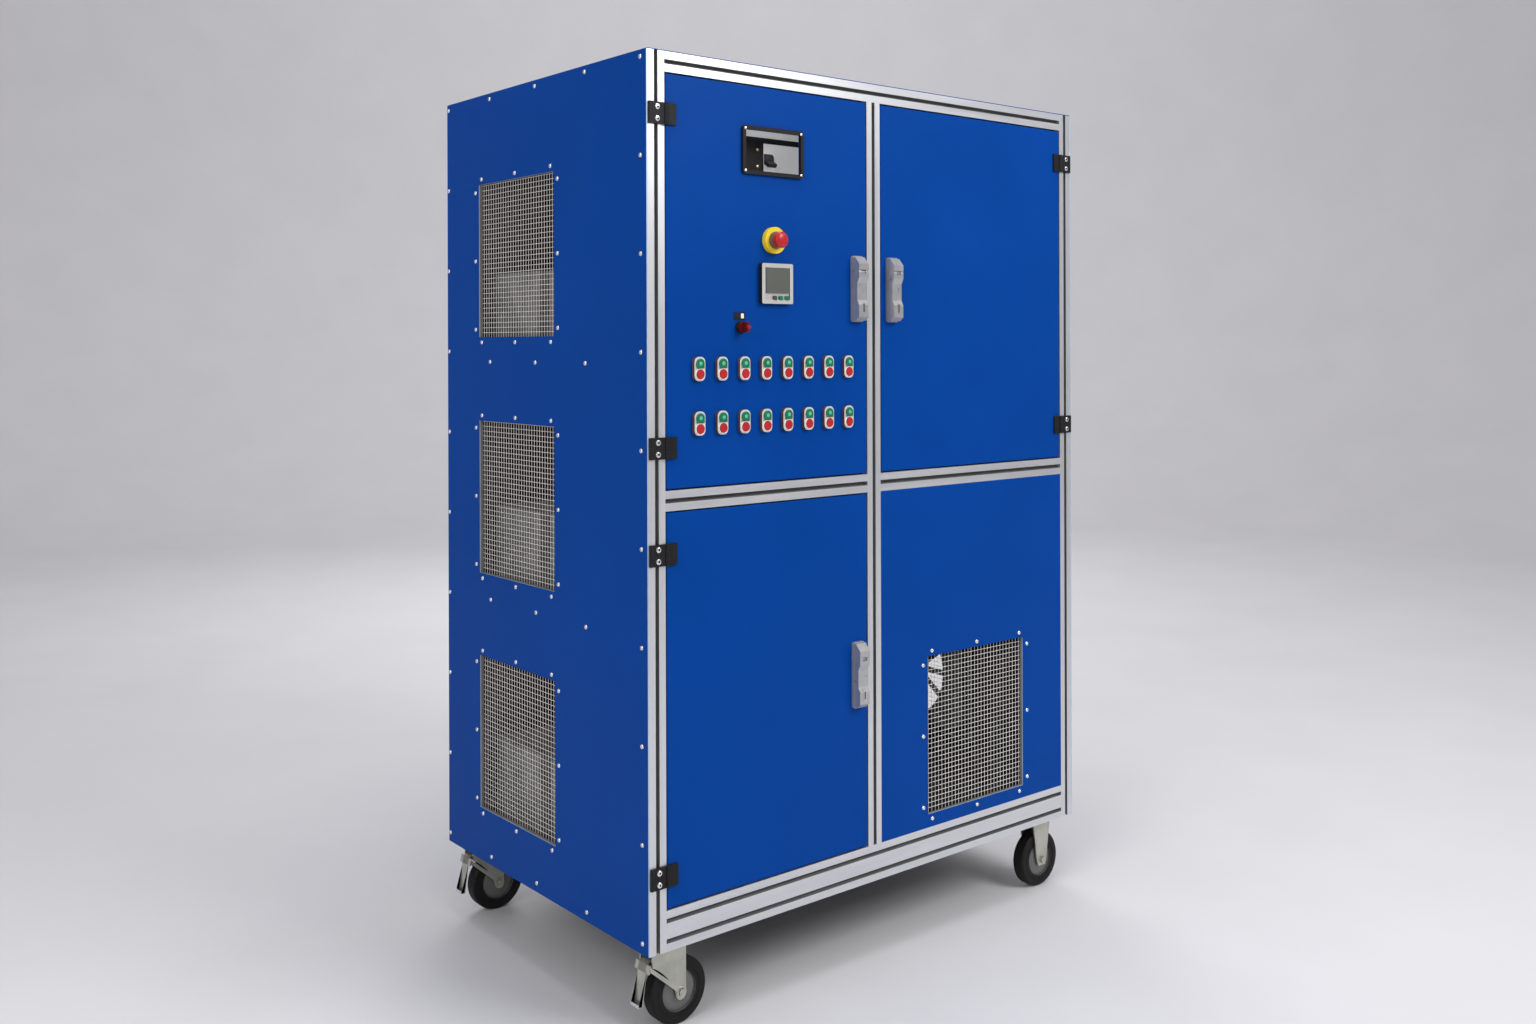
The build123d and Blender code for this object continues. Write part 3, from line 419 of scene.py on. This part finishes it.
# Sheets that close what is left open between each fan's square frame and the opening before it
closers = Shape()
FAN_HALF = 0.1655
CLOSER_LAP = 0.008
CLOSER = (RIGHT - 0.006, RIGHT - 0.004)
for across, up, size_across, size_up in right_openings:
    half_a, half_u = size_across / 2 + CLOSER_LAP, size_up / 2 + CLOSER_LAP
    for a0, a1, u0, u1 in ((-half_a, -FAN_HALF, -half_u, half_u), (FAN_HALF, half_a, -half_u, half_u),
                           (-FAN_HALF, FAN_HALF, -half_u, -FAN_HALF),
                           (-FAN_HALF, FAN_HALF, FAN_HALF, half_u)):
        closers.box((CLOSER[0], across + a0, up + u0), (CLOSER[1], across + a1, up + u1))
closers.finish("fan_closing_sheets", INSIDE, "cabinet", "galvanised", smooth=False)
sheets = Shape()
rims = Shape()
weave(sheets, 0, FRONT + FRONT_SHEET + REVEAL_DEPTH, *front_opening, lap=0.001)
reveal(rims, 0, FRONT + FRONT_SHEET, FRONT + FRONT_SHEET + REVEAL_DEPTH, *front_opening)
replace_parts(sheets.finish("front_grille_wire", WIRE, "cabinet", "mesh"), "front_grille")
rims.finish("front_grille_rim", REVEAL, "cabinet", "galvanised", smooth=False)


# ---------------------------------------------------------------- hinges and handles
DOORS = ("upper_left", "lower_left", "upper_right")
HINGE_HALF = 0.024
HINGE_SCREW = 0.013
SOCKET = [(0, 0.0027), (0.0006, 0.0027)]
SOCKET_FACE = 0.0031
hinge_screws = Shape()
sockets = Shape()
leaf_face = FRONT - 0.005
for door in DOORS:
    low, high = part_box(f"{door}_hinge_leaves")
    x = RIGHT - PROFILE / 2 if door == "upper_right" else LEFT + PROFILE / 2
    for middle in (low[2] + HINGE_HALF, high[2] - HINGE_HALF):
        for z in (middle - HINGE_SCREW, middle + HINGE_SCREW):
            hinge_screws.turned((x, leaf_face, z), (0, -1, 0), SOCKET_HEAD, 24)
            sockets.turned((x, leaf_face - SOCKET_FACE, z), (0, -1, 0), SOCKET, 6)
hinge_screws.finish("hinge_screws", STEEL, "cabinet", "zinc_plate")
sockets.finish("hinge_screw_sockets", BLACK, "cabinet", "black_plastic", smooth=False)

for door in DOORS:
    low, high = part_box(f"{door}_handle_lever")
    x = (low[0] + high[0]) / 2
    lock = Shape()
    lock.box((x - 0.0042, low[1] - 0.0006, low[2] + 0.019), (x + 0.0042, low[1] + 0.003, low[2] + 0.043))
    lock.finish(f"{door}_lock_face", STEEL, f"{door}_grip", "handle_zinc", smooth=False)
    slot = Shape()
    slot.box((x - 0.0026, low[1] - 0.0010, low[2] + 0.021), (x + 0.0026, low[1] + 0.001, low[2] + 0.041))
    slot.finish(f"{door}_key_slot", COLLAR, f"{door}_grip", "dark_plastic", smooth=False)


# ---------------------------------------------------------------- control door details
def front_box(name, low, high, material, body, slot):
    """A small plain block on the front."""
    block = Shape()
    block.box(low, high)
    return block.finish(name, material, body, slot, smooth=False)


LEAF = "upper_left_leaf"
WINDOW_CORNER = 0.0075
FLAT_HEAD = [(0, 0.0034), (0.0008, 0.003), (0.0013, 0.0015)]
low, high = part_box("window_border")
window_screws = Shape()
for x in (low[0] + WINDOW_CORNER, high[0] - WINDOW_CORNER):
    for z in (low[2] + WINDOW_CORNER, high[2] - WINDOW_CORNER):
        window_screws.turned((x, low[1], z), (0, -1, 0), FLAT_HEAD, 16)
window_screws.finish("window_screws", STEEL, LEAF, "zinc_plate")

low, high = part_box("power_meter")
meter_x, meter_z = (low[0] + high[0]) / 2, (low[2] + high[2]) / 2
screen_y = low[1] + 0.003
front_box("meter_display", (meter_x - 0.0345, low[1] - 0.0006, meter_z - 0.0215),
          (meter_x + 0.0345, screen_y, meter_z + 0.0365), LCD, LEAF, "dark_plastic")
for i, colour in enumerate((DARK, GREEN, GREEN)):
    x = meter_x - 0.008 + 0.018 * i
    front_box(f"meter_key_{i + 1}", (x - 0.0052, low[1] - 0.0008, meter_z - 0.0385),
              (x + 0.0052, screen_y, meter_z - 0.0285), colour, LEAF, "dark_plastic")

low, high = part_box("stop_collar")
stop_x, stop_z = (low[0] + high[0]) / 2, (low[2] + high[2]) / 2
SLEEVE = [(0, 0.0205), (0.0060, 0.0200), (0.0120, 0.0194), (0.0120, 0.0191), (0, 0.0191)]
KNOB_DOME = [(0, 0.0155), (0.0014, 0.0135), (0.0024, 0.009), (0.0028, 0.003), (0.00285, 0.0002)]
collar = Shape()
collar.turned((stop_x, low[1], stop_z), (0, -1, 0), SLEEVE, 48, ring=True)
collar.finish("stop_inner_collar", COLLAR, LEAF, "dark_plastic")
dome = Shape()
low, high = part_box("stop_knob")
dome.turned((stop_x, low[1], stop_z), (0, -1, 0), KNOB_DOME, 40)
dome.finish("stop_knob_dome", RED, "stop_head", "red_plastic")

low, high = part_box("selector_collar")
legend_low, legend_high = high[2] + 0.003, high[2] + 0.020
front_box("selector_legend", (low[0] - 0.004, FRONT - 0.0016, legend_low),
          (high[0] - 0.001, FRONT, legend_high), BLACK, LEAF, "black_plastic")
middle_x = (low[0] + high[0]) / 2
front_box("selector_legend_window", (middle_x + 0.001, FRONT - 0.0022, legend_low + 0.003),
          (middle_x + 0.009, FRONT - 0.0012, legend_high - 0.003), WHITE, LEAF, "pale_plastic")
low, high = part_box("selector_knob")
TIP = [(0, 0.0042), (0.006, 0.0040), (0.011, 0.0022)]
tip = Shape()
knob_z = (low[2] + high[2]) / 2
tip.turned((middle_x, low[1] + 0.004, knob_z), (0, -1, 0), TIP, 20)
tip.finish("selector_tip", RED, "selector", "red_plastic")

low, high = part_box("start_buttons")
button_face = low[1]
BUTTON_RADIUS = 0.011
BUTTON_PITCH = 0.024
button_xs = spread(low[0] + BUTTON_RADIUS, high[0] - BUTTON_RADIUS, 8)
start_rows = [low[2] + BUTTON_RADIUS, high[2] - BUTTON_RADIUS]
station_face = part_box("button_stations")[0][1]
rings = Shape()
stop_caps = Shape()
arches = Shape()
lights = Shape()
ARCH_RADIUS = 0.0108
ARCH_TAPER = 0.90
ARCH_STEPS = 16
CAP_DEPTH = 0.0011
CAP_SEAT = 0.00005
STATION_RING = [(0, 0.0114), (0, 0.0129), (0.0020, 0.0128), (0.0023, 0.0122), (0.0020, 0.0114)]
STOP_CAP = [(0, 0.0107), (0.0005, 0.0105), (0.0008, 0.009), (0.0006, 0.006), (0.0004, 0.001)]
# A pale mint disc on the front of each start cap: a painted reflection.
START_REFLECTION = [(0, 0.0045), (0.0002, 0.0038)]


def arch(shape, x, z):
    """A cap with a round top and straight sides that ends just above the lower button's ring."""
    turns = [math.pi * i / ARCH_STEPS for i in range(ARCH_STEPS + 1)]
    outline = [(x + ARCH_RADIUS * math.cos(turn), z + ARCH_RADIUS * math.sin(turn)) for turn in turns]
    outline += [(x - ARCH_RADIUS, z - ARCH_RADIUS), (x + ARCH_RADIUS, z - ARCH_RADIUS)]
    count = len(outline)
    front_y, back_y = button_face - CAP_DEPTH, button_face - CAP_SEAT
    verts = [(px, back_y, pz) for px, pz in outline]
    verts += [(x + (px - x) * ARCH_TAPER, front_y, z + (pz - z) * ARCH_TAPER) for px, pz in outline]
    faces = [(i, (i + 1) % count, count + (i + 1) % count, count + i) for i in range(count)]
    faces += [tuple(range(count, 2 * count)), tuple(reversed(range(count)))]
    shape.add(verts, faces)


for x in button_xs:
    for z in start_rows:
        arch(arches, x, z)
        rings.turned((x, station_face, z - BUTTON_PITCH), (0, -1, 0), STATION_RING, 32, ring=True)
        stop_caps.turned((x, button_face, z - BUTTON_PITCH), (0, -1, 0), STOP_CAP, 28)
        # Each start cap's painted reflection, gathered in lights.
        lights.turned((x, button_face - CAP_DEPTH, z), (0, -1, 0), START_REFLECTION, 16)
rings.finish("button_rings", WHITE, LEAF, "pale_plastic")
arches.finish("start_caps", GREEN, "start_bank", "green_plastic")
lights.finish("start_cap_reflections", MINT_REFLECTION, "start_bank", "green_plastic")
stop_caps.finish("stop_caps", RED, "stop_bank", "red_plastic")


# ---------------------------------------------------------------- behind the window
low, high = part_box("main_breaker")
breaker_z = (low[2] + high[2]) / 2
COVER_LEFT, COVER_RIGHT = LEFT + 0.384, LEFT + 0.497
COVER_TOP = BASE + 1.815
SHROUD_FACE, SHROUD_BACK = low[1] - 0.002, low[1] - 0.0001
# The side block beside the breaker carries the painted glow of the pale face.
front_box("breaker_side_block", (high[0] + 0.0002, low[1], low[2]), (COVER_RIGHT, high[1], COVER_TOP),
          GLOWING_PALE_FACE, "cabinet", "pale_plastic")
front_box("breaker_left_shroud", (LEFT + 0.300, SHROUD_FACE, low[2]), (COVER_LEFT, SHROUD_BACK, high[2]),
          BLACK, "cabinet", "dark_plastic")
front_box("breaker_top_shroud", (COVER_LEFT, SHROUD_FACE, COVER_TOP), (COVER_RIGHT, SHROUD_BACK, high[2]),
          BLACK, "cabinet", "dark_plastic")
# The wiring duct carries the painted glow of the pale face too.
front_box("wiring_duct", (LEFT + 0.318, low[1] - 0.014, BASE + 1.828),
          (COVER_RIGHT, low[1] - 0.0021, BASE + 1.856), GLOWING_PALE_FACE, "cabinet", "pale_plastic")
TERMINAL_HEAD = [(0, 0.0038), (0.001, 0.0036), (0.0016, 0.002)]
gold = Shape()
for x in (LEFT + 0.318, LEFT + 0.366):
    for z in (breaker_z + 0.020, breaker_z - 0.02):
        gold.turned((x, SHROUD_FACE, z), (0, -1, 0), TERMINAL_HEAD, 16)
gold.finish("breaker_screws", BRASS, "cabinet", "zinc_plate")

# ---------------------------------------------------------------- contactor faces
CONTACTOR_PITCH = (0.095, 0.150)
POLE_PITCH = 0.018
CLAMP_DROP = 0.036
CLAMP_HEAD = [(0, 0.004), (0.0015, 0.0036)]
low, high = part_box("contactors")
caps = Shape()
for row in range(3):
    for column in range(5):
        x = low[0] + 0.028 + CONTACTOR_PITCH[0] * column
        z = low[2] + 0.042 + CONTACTOR_PITCH[1] * row
        for pole in range(3):
            for dz in (-CLAMP_DROP, CLAMP_DROP):
                caps.turned((x + POLE_PITCH * (pole - 1), low[1], z + dz), (0, -1, 0), CLAMP_HEAD, 10)
caps.finish("contactor_screws", STEEL, "cabinet", "zinc_plate")


# ---------------------------------------------------------------- profile slots
def shade_slots():
    """Darkens the faces inside the profile's slots: those that lie deeper than the profile's skin."""
    for name in ("frame_posts", "top_rails", "base_rails", "cross_rails"):
        upright = name == "frame_posts"
        high_rail = 2 * PROFILE if name == "base_rails" else PROFILE
        mesh = nodes[name].data
        mesh.materials.append(SLOT_DARK)
        for face in mesh.polygons:
            c, n = face.center, face.normal
            if upright:
                x0 = min((LEFT, RIGHT - PROFILE, MULLION), key=lambda v: abs(c.x - v - PROFILE / 2))
                y0 = FRONT if abs(c.y - FRONT) < abs(c.y - REAR) else REAR - PROFILE
                depths = [c.x - x0, x0 + PROFILE - c.x, c.y - y0, y0 + PROFILE - c.y]
                end_face = abs(n.z) > 0.9
            else:
                lows = {"top_rails": [TOP - PROFILE], "base_rails": [BASE],
                        "cross_rails": [(BASE + TOP) / 2 - PROFILE / 2, BASE + 0.682 - PROFILE / 2,
                                        BASE + 1.293 - PROFILE / 2]}[name]
                z0 = min(lows, key=lambda v: abs(c.z - v - high_rail / 2))
                edges = [c.x - LEFT, RIGHT - c.x, c.y - FRONT, REAR - c.y]
                near = min(range(4), key=lambda i: edges[i])
                depths = [edges[near], PROFILE - edges[near], c.z - z0, z0 + high_rail - c.z]
                end_face = abs(n.x) > 0.9 if near > 1 else abs(n.y) > 0.9
            if not end_face and min(depths) > 0.0005:
                face.material_index = 1


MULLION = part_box("upper_left_door")[1][0] + 0.0035
shade_slots()


# ---------------------------------------------------------------- wheels, forks and pedals
def in_hub(centre):
    """A test for wheel faces inside the hub disc of the wheel at centre."""
    return lambda c, n: math.hypot(c.x - centre[0], c.z - centre[2]) < 0.0465


HUB_DOME = [(0.0, 0.045), (0.0, 0.0445), (0.0022, 0.040), (0.0034, 0.030), (0.0040, 0.016),
            (0.0048, 0.0102), (0.0, 0.0101)]
HUB_SEAT = 0.005
TYRE_RIB = [(-0.0004, 0.0545), (-0.0004, 0.0575), (0.0009, 0.0570), (0.0009, 0.0550)]
for corner in ("front_left", "rear_left", "front_right", "rear_right"):
    low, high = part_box(f"{corner}_wheel")
    centre = [(low[i] + high[i]) / 2 for i in range(3)]
    repaint(f"{corner}_wheel", HUB, in_hub(centre))
    half = (high[1] - low[1]) / 2
    for side, word in ((-1, "outer"), (1, "inner")):
        dome = Shape()
        seat = (centre[0], centre[1] + side * (half - HUB_SEAT), centre[2])
        dome.turned(seat, (0, side, 0), HUB_DOME, 48, ring=True)
        dome.finish(f"{corner}_{word}_hub_dome", HUB, f"{corner}_roller", "zinc_plate")
        rib = Shape()
        rib.turned((centre[0], centre[1] + side * half, centre[2]), (0, side, 0), TYRE_RIB, 64, ring=True)
        rib.finish(f"{corner}_{word}_tyre_rib", RUBBER, f"{corner}_roller", "wheel_rubber")


def curve(start, first_pull, second_pull, end, count=14):
    """Points along a cubic curve, without its start."""
    points = []
    for i in range(1, count + 1):
        t = i / count
        weights = ((1 - t) ** 3, 3 * t * (1 - t) ** 2, 3 * t * t * (1 - t), t ** 3)
        points.append(tuple(sum(w * p[k] for w, p in zip(weights, (start, first_pull, second_pull, end)))
                            for k in (0, 1)))
    return points


EYE_REACH = 0.0135
EYE_DROP = 0.004
EYE_STEPS = 12
SHEET = 0.004
INNER, OUTER = 0.021, 0.025
CROWN_HALF = 0.036
PIN_HALF = 0.0085
AXLE_NUT = [(0, 0.0085), (0.0055, 0.0085)]
AXLE_END = [(0, 0.005), (0.0015, 0.0044)]
AXLE = [(0, 0.005), (2 * OUTER, 0.005)]
ARM = 0.0025
ARM_GAP = 0.0001
ARM_START = 0.0115
ARM_EYE = [(0, 0.0088), (0, 0.0128), (ARM, 0.0128), (ARM, 0.0088)]
STRAP = 0.003
LEFT_CASTER = LEFT + 0.063
RIGHT_CASTER = RIGHT - 0.095
for corner in ("front_left", "rear_left"):
    low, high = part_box(f"{corner}_wheel")
    eye_x, cy, eye_z = [(low[i] + high[i]) / 2 for i in range(3)]
    cx = LEFT_CASTER
    crown_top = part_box(f"{corner}_swivel_fork")[1][2]
    right = eye_x + EYE_REACH
    start = (eye_x - EYE_REACH, eye_z - EYE_DROP)
    leg = [(cx - CROWN_HALF, crown_top), (right, crown_top), (right, eye_z - EYE_DROP)]
    turns = [math.pi * i / EYE_STEPS for i in range(1, EYE_STEPS + 1)]
    leg += [(eye_x + EYE_REACH * math.cos(turn), eye_z - EYE_DROP - EYE_REACH * math.sin(turn))
            for turn in turns]
    leg += curve(start, (start[0] - 0.004, start[1] + 0.030), (cx - 0.016, crown_top - 0.036),
                 (cx - CROWN_HALF, crown_top - 0.028))
    fork = Shape()
    for side in (-1, 1):
        fork.sheet(leg, cy + side * INNER, cy + side * OUTER)
        fork.turned((eye_x, cy + side * OUTER, eye_z), (0, side, 0), AXLE_NUT, 6)
        fork.turned((eye_x, cy + side * (OUTER + AXLE_NUT[1][0]), eye_z), (0, side, 0), AXLE_END, 20)
        fork.box((cx - CROWN_HALF, cy + side * PIN_HALF, crown_top - SHEET),
                 (right, cy + side * INNER, crown_top))
    fork.box((cx - CROWN_HALF, cy - PIN_HALF, crown_top - SHEET),
             (cx - PIN_HALF, cy + PIN_HALF, crown_top))
    fork.box((cx + PIN_HALF, cy - PIN_HALF, crown_top - SHEET), (right, cy + PIN_HALF, crown_top))
    fork.turned((eye_x, cy - OUTER, eye_z), (0, 1, 0), AXLE, 24)
    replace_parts(fork.finish(f"{corner}_fork_sheets", ZINC, f"{corner}_fork", "zinc_plate", smooth=False),
                f"{corner}_swivel_fork")

    pedal = Shape()
    top_x, top_z = cx - 0.041, eye_z + 0.082
    foot_x, foot_z = LEFT - 0.001, eye_z - 0.010
    strap = [(top_x + 0.010, top_z + 0.004), (top_x, top_z), (top_x - 0.004, top_z - 0.018),
             (foot_x + 0.009, foot_z), (foot_x, foot_z + 0.003)]
    for half, piece in ((0.0276, strap[1:3]), (0.015, strap)):
        pedal.sheet(piece + [(x - STRAP, z - 0.0008) for x, z in reversed(piece)], cy - half, cy + half)
    for side in (-1, 1):
        y0, y1 = sorted((cy + side * (OUTER + ARM_GAP), cy + side * (OUTER + ARM_GAP + ARM)))
        pedal.turned((eye_x, y0, eye_z), (0, 1, 0), ARM_EYE, 36, ring=True)
        reach_x, reach_z = top_x - 0.003 - eye_x, top_z - 0.008 - eye_z
        length = math.hypot(reach_x, reach_z)
        ux, uz = reach_x / length, reach_z / length
        arm = ((ARM_START, -0.005), (length, -0.004), (length, 0.004), (ARM_START, 0.005))
        pedal.sheet([(eye_x + ux * a - uz * w, eye_z + uz * a + ux * w) for a, w in arm], y0, y1)
    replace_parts(pedal.finish(f"{corner}_pedal_strap", ZINC, f"{corner}_pedal", "zinc_plate", smooth=False),
                f"{corner}_brake_pedal")
    tread = Shape()
    tread.box((foot_x - 0.0035, cy - 0.0148, foot_z + 0.0005),
              (foot_x - 0.0008, cy + 0.0148, foot_z + 0.008))
    tread.finish(f"{corner}_pedal_tread", STEEL, f"{corner}_pedal", "zinc_plate", smooth=False)

CASTER_INSET = 0.054
PLATE = 0.004
BOLT_HALF = (0.042, 0.033)
BOLT_HEAD = [(0, 0.0065), (0.0042, 0.0065)]
plate_bolts = Shape()
for cx in (LEFT_CASTER, RIGHT_CASTER):
    for cy in (FRONT + CASTER_INSET, REAR - CASTER_INSET):
        for dx in (-BOLT_HALF[0], BOLT_HALF[0]):
            for dy in (-BOLT_HALF[1], BOLT_HALF[1]):
                plate_bolts.turned((cx + dx, cy + dy, BASE - PLATE), (0, 0, -1), BOLT_HEAD, 6)
plate_bolts.finish("caster_plate_bolts", STEEL, "cabinet", "zinc_plate", smooth=False)

# ---------------------------------------------------------------- floor, light and camera
FLOOR_RADIUS = 8.0
COVE_RADIUS = 4.0
COVE_STEPS = 16
WALL_TOP = 9.0
outline = [(0.001, 0.0), (FLOOR_RADIUS, 0.0)]
for i in range(1, COVE_STEPS + 1):
    angle = math.pi / 2 * i / COVE_STEPS
    outline.append((FLOOR_RADIUS + COVE_RADIUS * math.sin(angle), COVE_RADIUS * (1 - math.cos(angle))))
outline.append((FLOOR_RADIUS + COVE_RADIUS, WALL_TOP))
SIDES = 96
verts = [(r * math.cos(2 * math.pi * i / SIDES), r * math.sin(2 * math.pi * i / SIDES), z)
         for r, z in outline for i in range(SIDES)]
faces = []
for ring in range(0, (len(outline) - 1) * SIDES, SIDES):
    for i in range(SIDES):
        following = (i + 1) % SIDES
        faces.append((ring + i, ring + following, ring + SIDES + following, ring + SIDES + i))
floor_mesh = bpy.data.meshes.new("floor")
floor_mesh.from_pydata(verts, [], faces)
floor_mesh.materials.append(CONCRETE)
for face in floor_mesh.polygons:
    face.use_smooth = True
floor = bpy.data.objects.new("floor", floor_mesh)
bpy.context.scene.collection.objects.link(floor)

world = bpy.data.worlds.new("studio")
bpy.context.scene.world = world
world.use_nodes = True
world.node_tree.nodes["Background"].inputs["Color"].default_value = (0.90, 0.89, 0.92, 1)
world.node_tree.nodes["Background"].inputs["Strength"].default_value = 0.68


def softbox(name, place, target, power, size):
    """A square area lamp aimed at a point."""
    light = bpy.data.lights.new(name, "AREA")
    light.energy = power
    light.size = size
    lamp = bpy.data.objects.new(name, light)
    lamp.location = place
    lamp.rotation_euler = (Vector(target) - Vector(place)).to_track_quat("-Z", "Y").to_euler()
    bpy.context.scene.collection.objects.link(lamp)


softbox("key", (1.5, -4.5, 4.2), (0, 0, 1.1), 165, 2.4)
softbox("fill", (-4.6, -2.0, 3.0), (0, 0, 1.1), 90, 2.6)
softbox("back", (2.5, 4.5, 4.0), (0, 0, 1.2), 80, 3.0)
softbox("top", (-0.2, -0.6, 5.6), (0, 0, 0), 85, 2.2)
softbox("wall", (3.2, 4.0, 6.5), (7.6, 9.3, 2.0), 180, 4.0)

camera_data = bpy.data.cameras.new("camera")
camera_data.lens = 32.61
camera_data.sensor_width = 36
camera_data.shift_y = -0.1087
camera = bpy.data.objects.new("camera", camera_data)
camera.location = (LEFT - 1.726, FRONT - 2.501, 1.523)
camera.rotation_euler = (math.radians(90), math.radians(0.17), math.radians(-39.54))
bpy.context.scene.collection.objects.link(camera)
bpy.context.scene.camera = camera
bpy.context.scene.view_settings.view_transform = "Standard"
